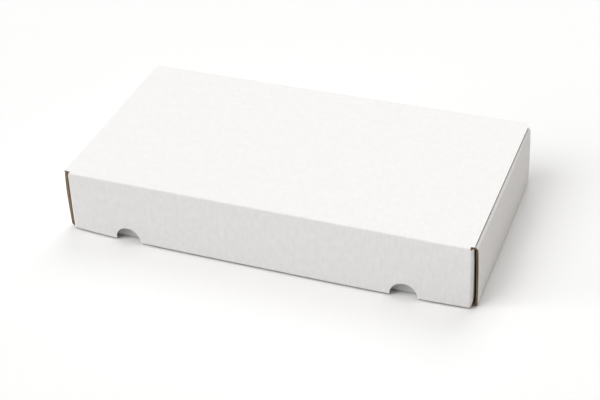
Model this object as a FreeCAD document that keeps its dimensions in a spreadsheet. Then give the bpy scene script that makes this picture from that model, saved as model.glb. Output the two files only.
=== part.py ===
"""Corrugated mailer box: a roll-end tray, its hinged lid and the flap that hangs in front.

Millimetres, +Z up, front towards -Y. The origin is the middle of the box's footprint, on the
surface that it stands on.
"""
import FreeCAD, Part
import os
import Sketcher
from FreeCAD import Vector

doc = FreeCAD.newDocument("mailer_box")

# Driving dimensions. The second column is the value, the third says what it is.
dimensions = [
    ("board", 1.6, "thickness of the corrugated board"),
    ("box_length", 382.0, "overall length, over the outer side panels"),
    ("tray_depth", 190.0, "outer face of the front wall to outer face of the back wall"),
    ("box_height", 63.0, "floor to the top of the closed lid"),
    ("flap_stand_off", 4.0, "front wall's outer face to the flap's outer face at the lid's crease"),
    ("flap_bulge", 3.4, "how far the flap's lower edge bows forward at mid length"),
    ("flap_lift", 1.5, "lower edge of the flap above the floor"),
    ("fold_radius", 1.0, "inner radius of the folds around the base"),
    ("roll_radius", 1.2, "inner radius of the two folds over each side wall"),
    ("corner_radius", 0.8, "inner radius of the upright folds at the corners"),
    ("roll_width", 9.3, "outer side panel's face to the inner side panel's face"),
    ("side_front_set", 0.2, "front raw edge of the side walls behind the front wall's face"),
    ("side_back_set", 5.5, "back raw edge of the side walls ahead of the back wall's face"),
    ("corner_flap_length", 58.0, "how far each corner flap reaches along the side wall"),
    ("wall_play", 0.2, "gap between boards that lie against each other in the tray"),
    ("ear_play", 0.3, "gap between the flap's ear and the tray's corner flap"),
    ("lid_play", 0.2, "gap between the lid and the side walls under it"),
    ("lid_inset", 3.5, "side edge of the lid inside the outer side panel's face"),
    ("lid_back_cut", 6.5, "length of the slanting cut at the lid's back corners"),
    ("lid_front_cut", 1.4, "front corners of the lid behind the crease's axis"),
    ("crease_gap", 0.15, "radial gap around each rolled crease"),
    ("flap_corner_rise", 0.9, "top of the flap's corner folds above the crease's axis"),
    ("ear_top_drop", 0.5, "top of the ears below the crease's axis"),
    ("notch_width", 24.3, "width of a thumb notch"),
    ("notch_height", 13.1, "height of a thumb notch above the flap's lower edge"),
    ("notch_from_side", 62.1, "middle of a thumb notch from the box's side face"),
    ("ear_lift", 4.5, "lower edge of the ears above the floor"),
    ("ear_clear", 1.0, "room around an ear while the lid lifts"),
]
sheet = doc.addObject("Spreadsheet::Sheet", "Dims")
for row, (alias, value, note) in enumerate(dimensions, start=1):
    sheet.set("A%d" % row, alias)
    sheet.set("B%d" % row, str(value))
    sheet.set("C%d" % row, note)
    sheet.setAlias("B%d" % row, alias)
doc.recompute()

# Places that several pieces share, as expressions of the sheet's cells.
BOARD = "Dims.board"
HALF = "(Dims.box_length / 2)"
Y_WALL = "((Dims.flap_stand_off + Dims.flap_bulge - Dims.tray_depth) / 2)"
Y_BACK = "(%s + Dims.tray_depth)" % Y_WALL
Y_FLAP = "(%s - Dims.flap_stand_off)" % Y_WALL
FOLD = "(Dims.fold_radius + Dims.board)"
ROLL = "(Dims.roll_radius + Dims.board)"
CORNER = "(Dims.corner_radius + Dims.board)"
Z_CREASE = "(Dims.box_height - Dims.board)"
Z_ROOF = "(%s - Dims.lid_play)" % Z_CREASE
Z_SLOT = "(%s - Dims.board)" % Z_ROOF
Z_CORNER = "(%s - %s - 2 * Dims.wall_play)" % (Z_ROOF, ROLL)
Y_SIDE_FRONT = "(%s + Dims.side_front_set)" % Y_WALL
Y_SIDE_BACK = "(%s - Dims.side_back_set)" % Y_BACK
X_INNER = "(%s - Dims.roll_width)" % HALF
X_CORNER = "(%s + 2 * Dims.board + Dims.wall_play)" % X_INNER
X_EAR = "(%s + Dims.ear_play + Dims.board)" % X_CORNER
X_CREASE = "(%s - %s)" % (X_EAR, CORNER)
X_WALL = "(%s - %s)" % (X_CORNER, CORNER)
Y_LID_AXIS = "(%s - Dims.board)" % Y_BACK
Y_FLAP_AXIS = "(%s + Dims.board)" % Y_FLAP

X, Y, Z = Vector(1, 0, 0), Vector(0, 1, 0), Vector(0, 0, 1)


def bind(piece, **expressions):
    """Tie properties of a piece to the sheet; x, y and z are its place."""
    for name, text in expressions.items():
        target = "Placement.Base." + name if name in ("x", "y", "z") else name
        piece.setExpression(target, text)
    return piece


def box(name, x, y, z):
    """A flat stretch of board between two values along each axis."""
    piece = doc.addObject("Part::Box", name)
    return bind(
        piece,
        x=x[0], y=y[0], z=z[0],
        Length="%s - %s" % (x[1], x[0]),
        Width="%s - %s" % (y[1], y[0]),
        Height="%s - %s" % (z[1], z[0]),
    )


def round_bar(name, start, end, place, radius, length, angle="90 deg"):
    """A cylinder or a sector of one, turning from start to end about start x end."""
    piece = doc.addObject("Part::Cylinder", name)
    piece.Placement.Rotation = FreeCAD.Rotation(start, end, start.cross(end), "XYZ")
    return bind(
        piece, x=place[0], y=place[1], z=place[2], Radius=radius, Height=length, Angle=angle
    )


def cut(name, base, tool):
    piece = doc.addObject("Part::Cut", name)
    piece.Base, piece.Tool, piece.Refine = base, tool, True
    return piece


def fuse(name, pieces):
    piece = doc.addObject("Part::MultiFuse", name)
    piece.Shapes, piece.Refine = pieces, True
    return piece


def fold(name, start, end, place, inner, length):
    """A quarter turn of board with the given inner radius."""
    outside = round_bar(name + "_out", start, end, place, "%s + %s" % (inner, BOARD), length)
    inside = round_bar(name + "_in", start, end, place, inner, length)
    return cut(name, outside, inside)


def mirrored(name, source):
    piece = doc.addObject("Part::Mirroring", name)
    piece.Source, piece.Base, piece.Normal = source, Vector(0, 0, 0), X
    return piece


def crease_bar(name, y, radius, half_length):
    """A round bar along a crease's axis, from -half_length to half_length."""
    return round_bar(
        name, Y, Z, ("-" + half_length, y, Z_CREASE), radius, "2 * " + half_length, "360 deg"
    )


def sketch(name, turn, place, points, bows=None):
    """A closed outline through the given corners; bows maps an edge to the radius of its arc."""
    piece = doc.addObject("Sketcher::SketchObject", name)
    piece.Placement.Rotation = turn
    bind(piece, **place)
    corners = [Vector(*[float(sheet.evalExpression(v)) for v in point], 0) for point in points]
    bows = bows or {}
    count = len(points)
    ends = []
    for i, start in enumerate(corners):
        after = (i + 1) % count
        if i not in bows:
            piece.addGeometry(Part.LineSegment(start, corners[after]), False)
            ends.append((1, 2))
            continue
        # A bow runs from left to right, so on the outline's way back its ends change places.
        left, right = sorted((start, corners[after]), key=lambda corner: corner.x)
        radius = float(sheet.evalExpression(bows[i]))
        sag = radius - (radius ** 2 - ((right.x - left.x) / 2) ** 2) ** 0.5
        piece.addGeometry(Part.Arc(left, (left + right) * 0.5 - Y * sag, right), False)
        ends.append((1, 2) if start.x < corners[after].x else (2, 1))
    for i, point in enumerate(points):
        after = (i + 1) % count
        piece.addConstraint(Sketcher.Constraint("Coincident", i, ends[i][1], after, ends[after][0]))
        for kind, text, value in zip(("DistanceX", "DistanceY"), point, corners[i]):
            index = piece.addConstraint(Sketcher.Constraint(kind, -1, 1, i, ends[i][0], value))
            piece.setExpression("Constraints[%d]" % index, text)
    for i, text in bows.items():
        radius = float(sheet.evalExpression(text))
        index = piece.addConstraint(Sketcher.Constraint("Radius", i, radius))
        piece.setExpression("Constraints[%d]" % index, text)
    return piece


def extruded(name, outline, direction):
    """An outline made one board thick."""
    piece = doc.addObject("Part::Extrusion", name)
    piece.Base, piece.DirMode, piece.Dir, piece.Solid = outline, "Custom", direction, True
    return bind(piece, LengthFwd=BOARD)


# Tray, part 1: the base, the front wall and the back wall with the folds between them.
y_front_flat = "(%s + %s)" % (Y_WALL, FOLD)
y_back_flat = "(%s - %s)" % (Y_BACK, FOLD)
x_flat = "(%s - %s)" % (HALF, FOLD)
base = box("base", ("-" + x_flat, x_flat), (y_front_flat, Y_SIDE_BACK), ("0", BOARD))
base_back = box("base_back", ("-" + X_WALL, X_WALL), (Y_SIDE_BACK, y_back_flat), ("0", BOARD))
front_fold = fold(
    "front_fold", -Y, -Z, ("-" + X_WALL, y_front_flat, FOLD), "Dims.fold_radius", "2 * " + X_WALL
)
back_fold = fold(
    "back_fold", -Z, Y, ("-" + X_WALL, y_back_flat, FOLD), "Dims.fold_radius", "2 * " + X_WALL
)
y_front_inside = "(%s + %s)" % (Y_WALL, BOARD)
front_wall = box("front_wall", ("-" + X_WALL, X_WALL), (Y_WALL, y_front_inside), (FOLD, Z_CORNER))
x_top = "(%s - Dims.wall_play)" % X_INNER
front_wall_top = box(
    "front_wall_top",
    ("-" + x_top, x_top),
    (Y_WALL, y_front_inside),
    (Z_CORNER, "(%s - Dims.wall_play)" % Z_ROOF),
)
back_wall = box("back_wall", ("-" + X_WALL, X_WALL), (Y_LID_AXIS, Y_BACK), (FOLD, Z_CORNER))
back_wall_top = box(
    "back_wall_top", ("-" + X_CREASE, X_CREASE), (Y_LID_AXIS, Y_BACK), (Z_CORNER, Z_CREASE)
)

# Tray, part 2, the right end: the base runs out to the side's fold, the outer panel rises,
# and the board rolls over the corner flaps and comes down again as the inner panel.
side_span = "%s - %s" % (Y_SIDE_BACK, Y_SIDE_FRONT)
z_roll = "(%s - %s)" % (Z_ROOF, ROLL)
x_roll = "(%s - %s)" % (HALF, ROLL)
x_roll_in = "(%s + %s)" % (X_INNER, ROLL)
base_corner = box(
    "base_corner",
    ("(%s + Dims.wall_play)" % X_WALL, x_flat),
    (Y_SIDE_FRONT, y_front_flat),
    ("0", BOARD),
)
side_fold = fold("side_fold", X, -Z, (x_flat, Y_SIDE_FRONT, FOLD), "Dims.fold_radius", side_span)
outer_panel = box(
    "outer_panel", ("(%s - %s)" % (HALF, BOARD), HALF), (Y_SIDE_FRONT, Y_SIDE_BACK), (FOLD, z_roll)
)
roll_outer = fold("roll_outer", Z, X, (x_roll, Y_SIDE_FRONT, z_roll), "Dims.roll_radius", side_span)
roof = box("roof", (x_roll_in, x_roll), (Y_SIDE_FRONT, Y_SIDE_BACK), (Z_SLOT, Z_ROOF))
roll_inner = fold(
    "roll_inner", -X, Z, (x_roll_in, Y_SIDE_FRONT, z_roll), "Dims.roll_radius", side_span
)
inner_panel = box(
    "inner_panel",
    (X_INNER, "(%s + %s)" % (X_INNER, BOARD)),
    ("(%s + Dims.wall_play)" % y_front_inside, Y_SIDE_BACK),
    (BOARD, z_roll),
)

# Tray, part 3: the corner flaps, folded back from the front and back walls into the roll.
z_flap_low = "(%s + 2 * Dims.wall_play)" % FOLD
flap_rise = "%s - %s" % (Z_CORNER, z_flap_low)
y_front_turn = "(%s + %s)" % (Y_WALL, CORNER)
y_back_turn = "(%s - %s)" % (Y_BACK, CORNER)
x_flap = ("(%s - %s)" % (X_CORNER, BOARD), X_CORNER)
front_corner = fold(
    "front_corner", -Y, X, (X_WALL, y_front_turn, z_flap_low), "Dims.corner_radius", flap_rise
)
front_corner_flap = box(
    "front_corner_flap",
    x_flap,
    (y_front_turn, "(%s + Dims.corner_flap_length)" % Y_WALL),
    (z_flap_low, Z_CORNER),
)
back_corner = fold(
    "back_corner", X, Y, (X_WALL, y_back_turn, z_flap_low), "Dims.corner_radius", flap_rise
)
back_corner_flap = box(
    "back_corner_flap",
    x_flap,
    ("(%s - Dims.corner_flap_length)" % Y_BACK, y_back_turn),
    (z_flap_low, Z_CORNER),
)
right_end = fuse(
    "right_end",
    [
        base_corner, side_fold, outer_panel, roll_outer, roof, roll_inner, inner_panel,
        front_corner, front_corner_flap, back_corner, back_corner_flap,
    ],
)
tray_sheet = fuse(
    "tray_sheet",
    [
        base, base_back, front_fold, back_fold, front_wall, front_wall_top, back_wall,
        back_wall_top, right_end, mirrored("left_end", right_end),
    ],
)
crease_room = "%s + Dims.crease_gap" % BOARD
x_room = "(%s + %s)" % (X_CREASE, CORNER)
tray = cut("tray", tray_sheet, crease_bar("lid_crease_room", Y_LID_AXIS, crease_room, x_room))


# Lid: a flat panel with cut corners, and a rolled crease along its front and back edges.
x_lid = "(%s - Dims.lid_inset)" % HALF
y_lid_front = "(%s + Dims.lid_front_cut)" % Y_FLAP_AXIS
y_lid_back = "(%s - Dims.lid_back_cut)" % Y_LID_AXIS
lid_outline = sketch(
    "lid_outline",
    FreeCAD.Rotation(),
    {"z": Z_CREASE},
    [
        ("-" + X_CREASE, Y_FLAP_AXIS),
        (X_CREASE, Y_FLAP_AXIS),
        (X_CREASE, y_lid_front),
        (x_lid, y_lid_front),
        (x_lid, y_lid_back),
        (X_CREASE, Y_LID_AXIS),
        ("-" + X_CREASE, Y_LID_AXIS),
        ("-" + x_lid, y_lid_back),
        ("-" + x_lid, y_lid_front),
        ("-" + X_CREASE, y_lid_front),
    ],
)
lid = fuse(
    "lid",
    [
        extruded("lid_panel", lid_outline, Z),
        crease_bar("lid_crease", Y_LID_AXIS, BOARD, X_CREASE),
        crease_bar("flap_crease", Y_FLAP_AXIS, BOARD, X_CREASE),
    ],
)

# Front flap, part 1: a panel that is straight along the crease and bows forward at its lower
# edge. The bow is an arc whose radius follows from its height over the crease's length.
bow_radius = "(%s ^ 2 + Dims.flap_bulge ^ 2) / (2 * Dims.flap_bulge)" % X_CREASE
flap_section = [
    ("-" + X_CREASE, Y_FLAP),
    (X_CREASE, Y_FLAP),
    (X_CREASE, Y_FLAP_AXIS),
    ("-" + X_CREASE, Y_FLAP_AXIS),
]
flap_top = sketch("flap_top", FreeCAD.Rotation(), {"z": Z_CREASE}, flap_section)
flap_low = sketch(
    "flap_low", FreeCAD.Rotation(), {"z": "Dims.flap_lift"}, flap_section, {0: bow_radius, 2: bow_radius}
)
flap_panel = doc.addObject("Part::Loft", "flap_panel")
flap_panel.Sections, flap_panel.Solid, flap_panel.Ruled = [flap_top, flap_low], True, True
flap_panel_cut = cut(
    "flap_panel_cut", flap_panel, crease_bar("flap_crease_room", Y_FLAP_AXIS, crease_room, x_room)
)

# Front flap, part 2, the right end: an upright fold and the ear behind it. The ear's rear edge
# slants so that it comes out from under the roof while the lid lifts about its back crease.
y_ear = "(%s + %s)" % (Y_FLAP, CORNER)
z_ear_top = "(%s - Dims.ear_top_drop)" % Z_CREASE
flap_corner = fold(
    "flap_corner",
    -Y,
    X,
    (X_CREASE, y_ear, "Dims.flap_lift"),
    "Dims.corner_radius",
    "%s + Dims.flap_corner_rise - Dims.flap_lift" % Z_CREASE,
)
ear_drop = "(%s - Dims.ear_lift)" % Z_SLOT
ear_swing = "(%s - %s)" % (Y_LID_AXIS, Y_SIDE_FRONT)
y_ear_stop = "(%s - Dims.ear_clear / 2)" % Y_SIDE_FRONT
y_ear_rear = "(%s + 0.49 * %s ^ 2 / %s - Dims.ear_clear)" % (Y_SIDE_FRONT, ear_drop, ear_swing)
z_ear_slant = "(%s - 0.47 * %s)" % (Z_SLOT, ear_drop)
ear_outline = sketch(
    "ear_outline",
    FreeCAD.Rotation(Y, Z, X, "XYZ"),
    {"x": "%s - %s" % (X_EAR, BOARD)},
    [
        (y_ear, "Dims.flap_lift"),
        (y_ear_stop, "Dims.flap_lift"),
        (y_ear_stop, "Dims.ear_lift"),
        (y_ear_rear, "Dims.ear_lift"),
        (y_ear_stop, z_ear_slant),
        (y_ear_stop, z_ear_top),
        (y_ear, z_ear_top),
    ],
)
flap_end = fuse("flap_end", [flap_corner, extruded("ear", ear_outline, X)])

# Front flap, part 3: the two half-round thumb notches in the lower edge.
notch_radius = "(Dims.notch_width / 2)"
x_notch = "(%s - Dims.notch_from_side)" % HALF
z_notch = "(Dims.flap_lift + Dims.notch_height - %s)" % notch_radius
y_notch = ("(%s - Dims.flap_bulge - %s)" % (Y_FLAP, BOARD), y_ear)
notch_round = round_bar(
    "notch_round",
    Z,
    X,
    (x_notch, y_notch[0], z_notch),
    notch_radius,
    "%s - %s" % (y_notch[1], y_notch[0]),
    "360 deg",
)
notch_low = box(
    "notch_low",
    ("(%s - %s)" % (x_notch, notch_radius), "(%s + %s)" % (x_notch, notch_radius)),
    y_notch,
    ("(%s - %s)" % (z_notch, notch_radius), z_notch),
)
notch = fuse("notch", [notch_round, notch_low])
flap_sheet = fuse("flap_sheet", [flap_panel_cut, flap_end, mirrored("flap_left_end", flap_end)])
flap_notched = cut("flap_notched", flap_sheet, notch)
front_flap = cut("front_flap", flap_notched, mirrored("left_notch", notch))

doc.recompute()
for piece in doc.Objects:
    if {"Invalid", "Error"} & set(piece.State):
        raise RuntimeError("%s did not build: %s" % (piece.Name, piece.State))
nodes = [tray, lid, front_flap]
for node in nodes:
    if node.Shape.isNull() or not node.Shape.isValid() or len(node.Shape.Solids) != 1:
        raise RuntimeError("%s is not one valid solid" % node.Label)

os.makedirs("parts", exist_ok=True)
for node in nodes:
    node.Shape.exportStep(os.path.join("parts", node.Label + ".step"))
    bounds = node.Shape.BoundBox
    print("%s: %.1f x %.1f x %.1f mm" % (node.Label, bounds.XLength, bounds.YLength, bounds.ZLength))
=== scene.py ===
import math

import bpy
import numpy as np
from mathutils import Matrix, Vector


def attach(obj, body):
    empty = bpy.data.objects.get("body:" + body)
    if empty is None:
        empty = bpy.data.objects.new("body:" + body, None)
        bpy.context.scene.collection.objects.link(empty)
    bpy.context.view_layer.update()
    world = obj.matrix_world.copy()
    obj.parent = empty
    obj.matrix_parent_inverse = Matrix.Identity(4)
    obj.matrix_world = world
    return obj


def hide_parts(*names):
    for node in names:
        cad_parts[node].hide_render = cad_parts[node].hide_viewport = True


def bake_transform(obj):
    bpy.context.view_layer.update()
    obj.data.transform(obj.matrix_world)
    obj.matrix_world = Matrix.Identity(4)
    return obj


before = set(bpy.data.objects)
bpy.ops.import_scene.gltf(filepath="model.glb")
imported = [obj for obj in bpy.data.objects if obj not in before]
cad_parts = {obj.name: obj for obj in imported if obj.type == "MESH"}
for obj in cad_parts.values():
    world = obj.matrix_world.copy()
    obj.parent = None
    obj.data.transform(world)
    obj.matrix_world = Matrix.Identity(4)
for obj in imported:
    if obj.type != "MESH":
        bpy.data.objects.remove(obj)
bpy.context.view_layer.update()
scene = bpy.context.scene
mm = 0.001
print("frame loaded")

# Camera: the photograph's viewing angle, fitted to the box's edges on an image of 600 x 400
view = {
    "azimuth": 23.202, "elevation": 36.055, "roll": -3.694,
    "distance": 1247.9, "target": (-2.05, 1.7, 3.98), "focal": 1352.0, "imageWidth": 600.0,
    "sensor": 36.0,
}


def towards(azimuth, elevation):
    # from the middle of the box towards a camera or lamp: azimuth in degrees, from the front to the right
    az, el = math.radians(azimuth), math.radians(elevation)
    return Vector((math.sin(az) * math.cos(el), -math.cos(az) * math.cos(el), math.sin(el)))


def placeCamera():
    back, roll = towards(view["azimuth"], view["elevation"]), math.radians(view["roll"])
    right = (-back).cross(Vector((0, 0, 1))).normalized()
    up = right.cross(-back)
    across = right * math.cos(roll) + up * math.sin(roll)
    upright = up * math.cos(roll) - right * math.sin(roll)
    data = bpy.data.cameras.new("photoCamera")
    data.sensor_width = view["sensor"]
    data.lens = view["focal"] / view["imageWidth"] * view["sensor"]
    camera = bpy.data.objects.new("photoCamera", data)
    turn = Matrix((across, upright, back)).transposed().to_4x4()
    spot = (back * view["distance"] + Vector(view["target"])) * mm
    camera.matrix_world = Matrix.Translation(spot) @ turn
    scene.collection.objects.link(camera)
    scene.camera = camera


placeCamera()
print("camera placed")


# Shader maths: a Wire holds a socket, so that sums of sockets and numbers read as expressions
class Wire:
    def __init__(self, socket):
        self.socket = socket

    def maths(self, operation, first, second=None):
        node = self.socket.id_data.nodes.new("ShaderNodeMath")
        node.operation = operation
        feed(node.inputs[0], first)
        if second is not None:
            feed(node.inputs[1], second)
        return Wire(node.outputs[0])

    def __add__(self, other):
        return self.maths("ADD", self, other)

    def __sub__(self, other):
        return self.maths("SUBTRACT", self, other)

    def __mul__(self, other):
        return self.maths("MULTIPLY", self, other)

    def sine(self):
        return self.maths("SINE", self)


def feed(socket, value):
    if isinstance(value, Wire):
        socket.id_data.links.new(value.socket, socket)
    else:
        socket.default_value = value


class Nodes:
    def __init__(self, tree):
        self.tree = tree

    def add(self, kind, settings=(), out=0, **inputs):
        node = self.tree.nodes.new(kind)
        for name, value in dict(settings).items():
            setattr(node, name, value)
        for name, value in inputs.items():
            key = int(name[2:]) if name.startswith("in") and name[2:].isdigit() else name.replace("_", " ")
            feed(node.inputs[key], value)
        return Wire(node.outputs[out])


def srgb(*levels):
    return tuple(c / 12.92 if c <= 0.04045 else ((c + 0.055) / 1.055) ** 2.4 for c in levels) + (1.0,)


def mixColor(nodes, share, first, second):
    node = nodes.tree.nodes.new("ShaderNodeMix")
    node.data_type = "RGBA"
    feed(node.inputs[0], share)
    feed(node.inputs[6], first)
    feed(node.inputs[7], second)
    return Wire(node.outputs[2])


def sheetPlace(nodes):
    # where a point lies on the flat blank, in millimetres: x runs across the flutes
    uv = nodes.add("ShaderNodeUVMap", {"uv_map": "blank"})
    return nodes.add("ShaderNodeVectorMath", {"operation": "SCALE"}, Vector=uv, Scale=1000.0)


# The board, in millimetres, with the steps that its folds and flutes are cut into and, in degrees, its sharp edges
board = {
    "thickness": 1.6, "liner": 0.3, "medium": 0.24, "pitch": 3.45, "step": 8.0, "arcSteps": 8, "fluteSteps": 8,
    "sharp": 35,
}
# keeps a comparison clear of rounding, and the distance between the two columns at a step in the outline
hair, gap = 1e-6, 0.03

# The layers of a paper's texture: how far each is drawn out on the blank, its noise and its share of the tone
texture = {
    "grain": {"scale": 0.5, "detail": 3.0, "rough": 0.6, "share": 0.7},
    "mottle": {"run": (1.0, 0.6, 1.0), "scale": 0.24, "detail": 4.0, "rough": 0.6, "share": 1.1},
    "fibre": {"run": (1.0, 0.28, 1.0), "scale": 2.6, "detail": 5.0, "rough": 0.7, "share": 1.2},
    "speck": {"run": (1.0, 0.28, 1.0), "scale": 5.5, "detail": 2.0, "rough": 0.5, "from": 0.66, "full": 0.76},
    "waveShare": 0.05, "mottleRough": 0.16, "mottleHeight": 1.5, "specular": 0.3,
}
# light and dark tones, specks and how much they show, roughness, and the heights of flutes and grain in the bump
papers = {
    "whiteLiner": {
        "light": srgb(0.970, 0.967, 0.966), "dark": srgb(0.915, 0.907, 0.901),
        "speck": srgb(0.86, 0.84, 0.80), "speckShare": 0.10, "rough": 0.62, "ripple": 0.012, "grainHeight": 0.010,
    },
    "lidLiner": {
        "light": srgb(0.961, 0.960, 0.957), "dark": srgb(0.924, 0.919, 0.912),
        "speck": srgb(0.86, 0.84, 0.80), "speckShare": 0.10, "rough": 0.62, "ripple": 0.004, "grainHeight": 0.010,
        "run": (0.05, 1.0, 1.0),
    },
    # painted shade: the front wall's outer liner is a greyer, slightly cool white that stands in for the shade
    # falling on the wall inside the notches
    "paintedShadeFrontLiner": {
        "light": srgb(0.865, 0.865, 0.87), "dark": srgb(0.845, 0.845, 0.85),
        "speck": srgb(0.78, 0.77, 0.75), "speckShare": 0.10, "rough": 0.7, "ripple": 0.012, "grainHeight": 0.010,
    },
    "kraftLiner": {
        "light": srgb(0.70, 0.60, 0.49), "dark": srgb(0.60, 0.50, 0.40),
        "speck": srgb(0.42, 0.32, 0.23), "speckShare": 0.35, "rough": 0.85, "ripple": 0.015, "grainHeight": 0.02,
    },
    "cutBoardEdge": {
        "light": srgb(0.79, 0.70, 0.585), "dark": srgb(0.66, 0.58, 0.475),
        "speck": srgb(0.36, 0.28, 0.21), "speckShare": 0.3, "rough": 0.92, "ripple": 0.0, "grainHeight": 0.05,
    },
    # painted shade: a darker copy of the cut board edge for the lid's raw edges and flutes, standing in for the
    # shadow in the seam between the lid and the side walls
    "lidCutEdge": {
        "light": srgb(0.60, 0.52, 0.43), "dark": srgb(0.48, 0.41, 0.33),
        "speck": srgb(0.30, 0.24, 0.18), "speckShare": 0.3, "rough": 0.92, "ripple": 0.0, "grainHeight": 0.05,
    },
    "fluteMedium": {
        "light": srgb(0.70, 0.61, 0.50), "dark": srgb(0.58, 0.50, 0.40),
        "speck": srgb(0.36, 0.28, 0.21), "speckShare": 0.3, "rough": 0.9, "ripple": 0.0, "grainHeight": 0.03,
    },
}


def noise(nodes, place, kind, run=None):
    values = texture[kind]
    drawn = nodes.add("ShaderNodeMapping", Vector=place, Scale=run or values["run"])
    return nodes.add(
        "ShaderNodeTexNoise", Vector=drawn, Scale=values["scale"], Detail=values["detail"],
        Roughness=values["rough"],
    )


def paperMaterial(name, light, dark, speck, speckShare, rough, ripple, grainHeight, run=(1.0, 0.16, 1.0)):
    material = bpy.data.materials.new(name)
    material.use_nodes = True
    nodes = Nodes(material.node_tree)
    shader = material.node_tree.nodes["Principled BSDF"]
    place = sheetPlace(nodes)
    across = nodes.add("ShaderNodeSeparateXYZ", Vector=place)
    grain = noise(nodes, place, "grain", run)
    mottle, fibre = noise(nodes, place, "mottle"), noise(nodes, place, "fibre")
    wave = (across * (2 * math.pi / board["pitch"])).sine()
    shade = wave * texture["waveShare"] + 0.5
    for layer, kind in ((grain, "grain"), (mottle, "mottle"), (fibre, "fibre")):
        shade = shade + (layer - 0.5) * texture[kind]["share"]
    shade.socket.node.use_clamp = True
    dots = texture["speck"]
    fleck = nodes.add(
        "ShaderNodeMapRange", in0=noise(nodes, place, "speck"), in1=dots["from"], in2=dots["full"], in3=0.0, in4=1.0
    )
    feed(shader.inputs["Base Color"], mixColor(nodes, fleck * speckShare, mixColor(nodes, shade, dark, light), speck))
    feed(shader.inputs["Roughness"], (mottle - 0.5) * texture["mottleRough"] + rough)
    height = wave * ripple + (fibre - 0.5) * grainHeight + (mottle - 0.5) * (grainHeight * texture["mottleHeight"])
    feed(shader.inputs["Normal"], nodes.add("ShaderNodeBump", Strength=1.0, Distance=mm, Height=height))
    shader.inputs["Specular IOR Level"].default_value = texture["specular"]
    return material


paper = {name: paperMaterial(name, **values) for name, values in papers.items()}
print("papers made")


def track(start, heading, moves):
    # a folded section: (0, length) runs straight and (radius, degrees) turns left, white face on the right
    parts, breaks = [], [0.0]
    x, y, turn, s = start[0], start[1], math.radians(heading), 0.0
    for radius, size in moves:
        length = radius * math.radians(size) if radius else size
        parts.append((s, x, y, turn, radius))
        if radius:
            cx, cy = x - radius * math.sin(turn), y + radius * math.cos(turn)
            turn += math.radians(size)
            x, y = cx + radius * math.sin(turn), cy - radius * math.cos(turn)
            steps = board["arcSteps"]
        else:
            x, y = x + length * math.cos(turn), y + length * math.sin(turn)
            steps = max(1, round(length / board["step"]))
        breaks += [s + length * (i + 1) / steps for i in range(steps)]
        s += length

    def at(s):
        px, py, angle = np.zeros(s.shape), np.zeros(s.shape), np.zeros(s.shape)
        for s0, x0, y0, turn0, radius in parts:
            on = s >= s0 - 1e-9
            t = s[on] - s0
            if radius:
                a = turn0 + t / radius
                px[on] = x0 + radius * (np.sin(a) - math.sin(turn0))
                py[on] = y0 - radius * (np.cos(a) - math.cos(turn0))
            else:
                a = np.full(t.shape, turn0)
                px[on] = x0 + t * math.cos(turn0)
                py[on] = y0 + t * math.sin(turn0)
            angle[on] = a
        return px, py, np.sin(angle), -np.cos(angle)

    return at, np.array(breaks)


class Sheet:
    # one stretch of board: columns run along its flutes, from low(s) to high(s)
    def __init__(self, columns, span, rows, place):
        self.columns, self.span, self.rows, self.place = np.array(columns), span, np.array(rows), place

    def skin(self, columns, depth):
        low, high = self.span(columns)
        s = np.repeat(columns[:, None], len(self.rows), 1)
        v = low[:, None] + (high - low)[:, None] * self.rows[None, :]
        return s, v, self.place(s, v, np.full(s.shape, depth))

    def slab(self, near, far, columns=None):
        # vertices, faces, the face's side (0 near, 1 far, 2 rim) and the place on the blank
        columns = self.columns if columns is None else columns
        nearGrid, farGrid = self.skin(columns, near), self.skin(columns, far)
        n, m = nearGrid[0].shape
        points = np.concatenate([nearGrid[2].reshape(-1, 3), farGrid[2].reshape(-1, 3)])
        blank = np.stack([nearGrid[0].ravel(), nearGrid[1].ravel()], 1)
        blank = np.concatenate([blank, blank])
        number = np.arange(n * m).reshape(n, m)
        a, b, c, d = number[:-1, :-1], number[1:, :-1], number[1:, 1:], number[:-1, 1:]
        quads = np.stack([a, b, c, d], -1).reshape(-1, 4)
        rim = []
        for line in (number[:, 0], number[-1, :], number[::-1, -1], number[0, ::-1]):
            rim.append(np.stack([line[1:], line[:-1], line[:-1] + n * m, line[1:] + n * m], 1))
        rim = np.concatenate(rim)
        faces = np.concatenate([quads, quads[:, ::-1] + n * m, rim])
        side = np.concatenate([np.zeros(len(quads)), np.ones(len(quads)), np.full(len(rim), 2)]).astype(int)
        return points, faces, side, blank


def buildMesh(name, slabs, materials):
    # slabs: (points, faces, side, blank, material index for each side)
    points, faces, index, blank, at = [], [], [], [], 0
    for p, f, side, uv, kinds in slabs:
        points.append(p), faces.append(f + at), blank.append(uv)
        index.append(np.array(kinds)[side])
        at += len(p)
    points, faces, blank = np.concatenate(points) * mm, np.concatenate(faces), np.concatenate(blank) * mm
    mesh = bpy.data.meshes.new(name)
    mesh.from_pydata(points.tolist(), [], faces.tolist())
    for material in materials:
        mesh.materials.append(material)
    mesh.polygons.foreach_set("material_index", np.concatenate(index).astype(np.int32))
    layer = mesh.uv_layers.new(name="blank")
    layer.data.foreach_set("uv", blank[faces.ravel()].ravel().astype(np.float32))
    mesh.polygons.foreach_set("use_smooth", np.ones(len(faces), bool))
    mesh.set_sharp_from_angle(angle=math.radians(board["sharp"]))
    mesh.update()
    mesh.validate()
    piece = bpy.data.objects.new(name, mesh)
    scene.collection.objects.link(piece)
    return piece


linerPapers = [paper[name] for name in (
    "whiteLiner", "kraftLiner", "cutBoardEdge", "paintedShadeFrontLiner", "lidLiner", "lidCutEdge",
)]
whiteSide, kraftSide, cutRim, paintedShadeFrontSide, lidSide, paintedShadeLidRim = range(len(linerPapers))


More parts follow.
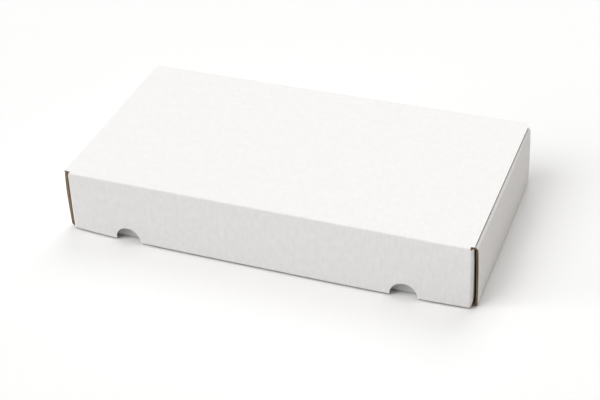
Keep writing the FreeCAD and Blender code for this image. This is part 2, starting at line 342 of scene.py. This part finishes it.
def liners(name, sheets, special=None, outside=whiteSide, rim=cutRim):
    # the white outer liner and the kraft inner liner of every sheet, each a closed thin slab
    slabs = []
    for sheet in sheets:
        outer = sheet.slab(0.0, board["liner"])
        inner = sheet.slab(board["thickness"] - board["liner"], board["thickness"])
        skin = outside if sheet is special else whiteSide
        slabs += [outer + ((skin, kraftSide, rim),), inner + ((kraftSide, kraftSide, rim),)]
    return buildMesh(name, slabs, linerPapers)


def fluteTree():
    # bends a flat strip of medium into flutes: each point moves along the board's thickness
    tree = bpy.data.node_groups.new("flutes", "GeometryNodeTree")
    face = tree.interface
    face.new_socket("Geometry", in_out="INPUT", socket_type="NodeSocketGeometry")
    for label, value in (("Pitch", board["pitch"] * mm), ("Height", 1.0 * mm)):
        socket = face.new_socket(label, in_out="INPUT", socket_type="NodeSocketFloat")
        socket.default_value = value
    face.new_socket("Paper", in_out="INPUT", socket_type="NodeSocketMaterial")
    face.new_socket("Geometry", in_out="OUTPUT", socket_type="NodeSocketGeometry")
    nodes, link = tree.nodes, tree.links.new
    start, end = nodes.new("NodeGroupInput"), nodes.new("NodeGroupOutput")

    def attribute(name, kind):
        node = nodes.new("GeometryNodeInputNamedAttribute")
        node.data_type = kind
        node.inputs["Name"].default_value = name
        return node.outputs["Attribute"]

    def maths(operation, *values):
        node = nodes.new("ShaderNodeMath")
        node.operation = operation
        for socket, value in zip(node.inputs, values):
            if isinstance(value, float):
                socket.default_value = value
            else:
                link(value, socket)
        return node.outputs[0]

    turns = maths("DIVIDE", attribute("across", "FLOAT"), start.outputs["Pitch"])
    wave = maths("SINE", maths("MULTIPLY", turns, 2 * math.pi))
    rise = maths("MULTIPLY", wave, maths("MULTIPLY", start.outputs["Height"], 0.5))
    shift = nodes.new("ShaderNodeVectorMath")
    shift.operation = "SCALE"
    link(attribute("outward", "FLOAT_VECTOR"), shift.inputs[0])
    link(rise, shift.inputs["Scale"])
    move = nodes.new("GeometryNodeSetPosition")
    link(start.outputs["Geometry"], move.inputs["Geometry"])
    link(shift.outputs[0], move.inputs["Offset"])
    real = nodes.new("GeometryNodeRealizeInstances")
    link(move.outputs[0], real.inputs[0])
    finish = nodes.new("GeometryNodeSetMaterial")
    link(real.outputs[0], finish.inputs["Geometry"])
    link(start.outputs["Paper"], finish.inputs["Material"])
    link(finish.outputs[0], end.inputs[0])
    return tree


flutesTree = fluteTree()


def flutes(name, sheets, medium=paper["fluteMedium"]):
    slabs, across, outward = [], [], []
    middle, half = board["thickness"] / 2, board["medium"] / 2
    for sheet in sheets:
        step = board["pitch"] / board["fluteSteps"]
        first, last = sheet.columns[0], sheet.columns[-1]
        fine = np.arange(math.ceil(first / step) * step, last, step)
        columns = np.unique(np.concatenate([sheet.columns, fine]).round(4))
        slab = sheet.slab(middle - half, middle + half, columns)
        slabs.append(slab + ((0, 0, 0),))
        top, bottom = sheet.skin(columns, 0.0)[2], sheet.skin(columns, board["thickness"])[2]
        way = (top - bottom).reshape(-1, 3)
        way /= np.linalg.norm(way, axis=1)[:, None]
        across.append(slab[3][:, 0] * mm)
        outward.append(np.concatenate([way, way]))
    piece = buildMesh(name, slabs, [medium])
    for label, kind, field, values in (
        ("across", "FLOAT", "value", np.concatenate(across)),
        ("outward", "FLOAT_VECTOR", "vector", np.concatenate(outward).ravel()),
    ):
        piece.data.attributes.new(label, kind, "POINT").data.foreach_set(field, values.astype(np.float32))
    modifier = piece.modifiers.new("flutes", "NODES")
    modifier.node_group = flutesTree
    key = {item.name: item.identifier for item in flutesTree.interface.items_tree if item.in_out == "INPUT"}
    modifier[key["Pitch"]] = board["pitch"] * mm
    modifier[key["Height"]] = (board["thickness"] - 2 * board["liner"] - board["medium"]) * mm
    modifier[key["Paper"]] = medium
    ready = piece.evaluated_get(bpy.context.evaluated_depsgraph_get())
    mesh = bpy.data.meshes.new_from_object(ready)
    piece.modifiers.clear()
    piece.data = mesh
    mesh.name = name
    return piece


def stepped(columns, steps):
    # adds a column on each side of every step in the outline
    extra = [s + o for s in steps for o in (-gap, 0.0)]
    return np.unique(np.concatenate([columns, extra]).round(4))


# Tray
tray = {
    "half": 191.0, "front": -91.3, "back": 98.7, "fold": 2.6, "roll": 2.8, "roof": 61.2, "inner": 181.7,
    "sideFront": -90.4, "sideBack": 93.2, "innerFront": -89.5, "wallHalf": 182.7, "corner": 2.4,
    "cornerFlap": 58.0, "flapLow": 3.0, "flapTop": 58.0, "frontTop": 61.0, "frontTopHalf": 181.5,
    "backTop": 60.4, "backTopHalf": 184.6,
    "leanRight": (0.0, 0.85, 4.0), "leanLeft": (0.0, 2.6, 3.2), "backRight": 0.8,
    "leanOver": 6.0,
}


def mirroredColumns(columns):
    return np.unique(np.concatenate([-columns, columns]).round(4))


def sideSheet():
    flat, roof = tray["half"] - tray["fold"], tray["roof"] - tray["roll"]
    ledge = tray["half"] - tray["inner"] - 2 * tray["roll"]
    at, breaks = track((0, 0), 0, [
        (0, flat), (tray["fold"], 90), (0, roof - tray["fold"]), (tray["roll"], 90), (0, ledge),
        (tray["roll"], 90), (0, roof - board["thickness"]),
    ])
    innerStart = breaks[-1] - (roof - board["thickness"])
    columns = mirroredColumns(stepped(breaks, [tray["wallHalf"], innerStart + gap]))

    def span(s):
        s = np.abs(s)
        low = np.where(s < tray["wallHalf"] - hair, tray["front"] + tray["fold"], tray["sideFront"])
        low = np.where(s > innerStart + hair, tray["innerFront"], low)
        high = np.where(s < tray["wallHalf"] - hair, tray["back"] - tray["fold"], tray["sideBack"])
        return low, high

    def place(s, v, d):
        # the sides lean in towards the top, the left one more: (at the foot, added at the top, power)
        x, z, nx, nz = at(np.abs(s))
        x, z = x - nx * d, z - nz * d
        outer = np.clip((x - tray["inner"]) / tray["leanOver"], 0, 1)
        height = np.clip(z / tray["roof"], 0, 1)
        leans = tray["leanRight"], tray["leanLeft"]
        right, left = (foot + top * height ** power for foot, top, power in leans)
        right = right + tray["backRight"] * np.clip(v / tray["sideBack"], 0, 1)
        return np.stack([np.sign(s) * (x - np.where(s > 0, right, left) * outer), v, z], -1)

    return Sheet(columns, span, np.linspace(0, 1, 13), place)


def wallSheet(front):
    # the front or back wall with the fold under it and the corner flaps folded back from its ends
    y = -tray["front"] if front else tray["back"]
    at, breaks = track((0, -y), 0, [
        (0, tray["wallHalf"]), (tray["corner"], 90), (0, tray["cornerFlap"] - tray["corner"]),
    ])
    radius = tray["fold"]
    arc = radius * math.pi / 2
    bottom = radius - arc
    topHalf = tray["frontTopHalf"] if front else tray["backTopHalf"]
    top = tray["frontTop"] if front else tray["backTop"]
    columns = mirroredColumns(stepped(breaks, [tray["frontTopHalf"], tray["wallHalf"] + gap]))
    fraction = arc / (top - bottom)
    rows = np.unique(np.concatenate([np.linspace(0, fraction, 7), np.linspace(fraction, 1, 5)]))

    def span(s):
        s = np.abs(s)
        low = np.where(s <= tray["wallHalf"] + hair, bottom, tray["flapLow"])
        high = np.where(s <= tray["frontTopHalf"] - hair, top, tray["flapTop"])
        return low, high

    def place(s, v, d):
        x, w, nx, nw = at(np.abs(s))
        turn = np.clip((radius - v) / arc, 0, 1) * math.pi / 2
        pull = (radius - d) * (1 - np.cos(turn))
        z = np.where(v < radius, radius - (radius - d) * np.sin(turn), v)
        w = w - nw * d + pull
        return np.stack([np.sign(s) * (x - nx * d), w if front else -w, z], -1)

    return Sheet(columns, span, rows, place)


traySheets = [sideSheet(), wallSheet(True), wallSheet(False)]
# the front wall's outer face takes the greyer liner, which is painted shade
trayBoard = liners("trayBoard", traySheets, traySheets[1], outside=paintedShadeFrontSide)
trayFlutes = flutes("trayFlutes", traySheets)
print("tray built")

# Lid
lid = {
    "half": 187.5, "creaseHalf": 184.6, "front": -92.7, "sideFront": -92.3, "back": 96.1, "cutFrom": 91.6,
    "backAxis": 97.1, "top": 63.0,
}


def lidSheet():
    columns = mirroredColumns(stepped(
        np.concatenate([np.linspace(0, lid["creaseHalf"], 24), np.linspace(lid["creaseHalf"], lid["half"], 4)]),
        [lid["creaseHalf"] + gap],
    ))

    def span(s):
        s = np.abs(s)
        outer = s > lid["creaseHalf"] + hair
        share = np.clip((s - lid["creaseHalf"]) / (lid["half"] - lid["creaseHalf"]), 0, 1)
        low = np.where(outer, lid["sideFront"], lid["front"])
        high = np.where(outer, lid["backAxis"] + (lid["cutFrom"] - lid["backAxis"]) * share, lid["back"])
        return low, high

    def place(s, v, d):
        return np.stack([s, v, lid["top"] - d], -1)

    return Sheet(columns, span, np.linspace(0, 1, 13), place)


lidSheets = [lidSheet()]
# the lid's raw rims and its flutes take the darker edge paper, which is painted shade of the seam
lidBoard = liners("lidBoard", lidSheets, lidSheets[0], outside=lidSide, rim=paintedShadeLidRim)
lidFlutes = flutes("lidFlutes", lidSheets, paper["lidCutEdge"])
print("lid built")

# Front flap
flap = {
    "creaseHalf": 184.6, "face": -95.3, "bulge": 3.4, "low": 1.8, "top": 60.4, "cornerTop": 61.7, "earTop": 60.9,
    "corner": 2.4, "ear": 8.7, "earLow": 4.5, "earFrom": 1.3, "earSlant": 33.7, "earTip": 0.5,
    "notchMiddle": 128.9, "notchRadius": 12.15, "notchCentre": 2.45,
    "cornerCut": 3.0, "cutAfter": 0.6, "cutRun": 3.0, "cutPower": 1.5,
    # the ends' small shifts: from endFrom on, the left one is drawn in, the right one slides, bows and flares
    "endFrom": 140, "endMost": 1.05, "leftTuck": 0.55, "leftLean": 2.3, "leanPower": 1.2, "leftPress": 0.6,
    "rightSlide": -0.2, "rightBow": 1.5, "rightFlare": 0.4,
}


def endShare(x):
    # 0 along the middle of the flap, rising to 1 at the ends of its crease
    return np.clip((x - flap["endFrom"]) / (flap["creaseHalf"] - flap["endFrom"]), 0, flap["endMost"]) ** 2


def leftPull(x, drop):
    # how far the left end of the flap, and of its crease, is drawn in: most at the top
    end = endShare(x)
    return flap["leftTuck"] * end + flap["leftLean"] * end ** 3 * (1 - drop) ** flap["leanPower"]


def flapSheet():
    at, breaks = track((0, flap["face"]), 0, [(0, flap["creaseHalf"]), (flap["corner"], 90), (0, flap["ear"])])
    earStart = breaks[-1] - flap["ear"] + flap["earFrom"]
    angles = np.linspace(0, math.pi, 33)
    notch = flap["notchMiddle"] - (flap["notchRadius"] - 0.02) * np.cos(angles)
    notch = np.concatenate([notch, flap["notchMiddle"] + np.array([-1, 1]) * flap["notchRadius"]])
    keep = breaks[np.abs(breaks - flap["notchMiddle"]) > flap["notchRadius"] + 0.5]
    columns = mirroredColumns(stepped(np.concatenate([keep, notch]), [flap["creaseHalf"] + gap, earStart]))

    def span(s):
        s = np.abs(s)
        inside = flap["notchRadius"] ** 2 - (s - flap["notchMiddle"]) ** 2
        arch = flap["notchCentre"] + np.sqrt(np.clip(inside, 0, None))
        low = np.where(inside > 0.01, arch, flap["low"])
        turned = np.clip((s - flap["creaseHalf"] - flap["cutAfter"]) / flap["cutRun"], 0, 1)
        low = low + flap["cornerCut"] * turned ** flap["cutPower"]
        high = np.where(s > flap["creaseHalf"] + hair, flap["cornerTop"], flap["top"])
        high = np.where(s > earStart - flap["earFrom"] + hair, flap["earTop"], high)
        share = np.clip((s - earStart) / (flap["ear"] - flap["earFrom"]), 0, 1)
        onEar = s > earStart - hair
        low = np.where(onEar, flap["earLow"], low)
        high = np.where(onEar, flap["earSlant"] + (flap["earLow"] + flap["earTip"] - flap["earSlant"]) * share, high)
        return low, high

    def place(s, v, d):
        x, y, nx, ny = at(np.abs(s))
        along = np.clip(np.abs(s) / flap["creaseHalf"], 0, 1)
        drop = np.clip((flap["top"] - v) / (flap["top"] - flap["low"]), 0, 1)
        bulge = flap["bulge"] * (1 - along ** 4) * drop
        end, left = endShare(x), leftPull(x, drop)
        right = end * drop * (flap["rightSlide"] + flap["rightBow"] * (1 - drop))
        x = np.where(s < 0, nx * d - x + left, x - nx * d + right)
        inward = np.where(s < 0, flap["leftPress"], -flap["rightFlare"]) * end * drop
        return np.stack([x, y - ny * d - bulge + inward, v], -1)

    return Sheet(columns, span, np.linspace(0, 1, 9), place)


flapSheets = [flapSheet()]
flapBoard = liners("flapBoard", flapSheets)
flapFlutes = flutes("flapFlutes", flapSheets)
print("front flap built")

# Creases: the board pressed thin and bent over each hinge line
crease = {
    "radius": 1.6, "flat": 1.0, "liner": 0.24, "core": 1.45, "half": 184.6, "lidY": 97.1, "flapY": -93.7, "z": 61.4,
}


def creaseBar(name, y, way):
    # way is -1 for the front crease and 1 for the back one
    radius, flat = crease["radius"], crease["flat"]
    arc = radius * math.pi / 2
    total = 2 * flat + arc
    rows = np.unique(np.concatenate([[0], np.linspace(flat, flat + arc, 9), [total]])) / total
    columns = mirroredColumns(np.linspace(0, crease["half"], 24))

    def span(s):
        return np.zeros(s.shape), np.full(s.shape, total)

    def place(s, v, d):
        turn = np.clip((v - flat) / radius, 0, math.pi / 2)
        before, after = np.clip(flat - v, 0, None), np.clip(v - flat - arc, 0, None)
        r = radius - d
        if way < 0:
            s = np.where(s < 0, s + leftPull(-s, 0.0), s)
        return np.stack([s, y + way * (r * np.sin(turn) - before), crease["z"] + r * np.cos(turn) - after], -1)

    sheet = Sheet(columns, span, rows, place)
    skin = sheet.slab(0.0, crease["liner"])
    core = sheet.slab(crease["liner"], crease["core"])
    sides = (whiteSide, kraftSide, cutRim), (kraftSide, kraftSide, cutRim)
    return buildMesh(name, [skin + (sides[0],), core + (sides[1],)], linerPapers)


lidCrease = creaseBar("lidCrease", crease["lidY"], 1)
flapCrease = creaseBar("flapCrease", crease["flapY"], -1)
print("creases built")

for body, pieces in (
    ("tray", (trayBoard, trayFlutes)), ("lid", (lidBoard, lidFlutes)), ("front_flap", (flapBoard, flapFlutes)),
):
    for piece in pieces:
        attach(piece, body)
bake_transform(lidCrease)
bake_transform(flapCrease)
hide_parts("tray")
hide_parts("lid")
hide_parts("front_flap")
print("pieces ride on their bodies")

# Floor and light
studio = {
    "floorSize": 12.0, "floor": srgb(0.975, 0.975, 0.975), "bounce": srgb(0.92, 0.92, 0.92), "floorRough": 0.9,
    "world": 0.07, "warm": (1.0, 0.88, 0.68),
    # azimuth from the front, elevation, angular size and strength of each soft light; the right one is warm
    "lights": {
        "top": (0, 88, 60, 0.78), "back": (180, 50, 40, 1.0), "backLeft": (-135, 50, 40, 0.21),
        "left": (-90, 45, 40, 0.16), "frontLeft": (-45, 50, 40, 1.25), "low": (-66, 12, 20, 0.93),
        "right": (80, 22, 40, 0.27),
    },
}


def seenRay(nodes):
    # 1 for the rays that show the background: straight, mirrored or through glass
    rays = ("Is Camera Ray", "Is Glossy Ray", "Is Transmission Ray")
    camera, glossy, through = (nodes.add("ShaderNodeLightPath", out=ray) for ray in rays)
    return camera.maths("MAXIMUM", camera.maths("MAXIMUM", camera, glossy), through)


def buildStudio():
    mesh = bpy.data.meshes.new("floor")
    h = studio["floorSize"] / 2
    mesh.from_pydata([(-h, -h, 0), (h, -h, 0), (h, h, 0), (-h, h, 0)], [], [(0, 1, 2, 3)])
    floor = bpy.data.objects.new("floor", mesh)
    scene.collection.objects.link(floor)
    material = bpy.data.materials.new("floorPaper")
    material.use_nodes = True
    shader = material.node_tree.nodes["Principled BSDF"]
    shader.inputs["Roughness"].default_value = studio["floorRough"]
    shader.inputs["Specular IOR Level"].default_value = 0.0
    # the tone that shows, and a slightly deeper one for the light that the floor throws back
    nodes = Nodes(material.node_tree)
    feed(shader.inputs["Base Color"], mixColor(nodes, seenRay(nodes), studio["bounce"], studio["floor"]))
    mesh.materials.append(material)
    world = bpy.data.worlds.new("studio")
    scene.world = world
    world.use_nodes = True
    nodes = Nodes(world.node_tree)
    ground = world.node_tree.nodes["Background"]
    feed(ground.inputs["Color"], (1, 1, 1, 1))
    feed(ground.inputs["Strength"], seenRay(nodes) * (1 - studio["world"]) + studio["world"])
    for name, (azimuth, elevation, spread, strength) in studio["lights"].items():
        lamp = bpy.data.lights.new(name, "SUN")
        lamp.angle, lamp.energy = math.radians(spread), strength
        lamp.color = studio["warm"] if name == "right" else (1, 1, 1)
        light = bpy.data.objects.new(name, lamp)
        light.rotation_euler = towards(azimuth, elevation).to_track_quat("Z", "Y").to_euler()
        scene.collection.objects.link(light)


buildStudio()
scene.view_settings.view_transform = "Standard"
print("studio lit")
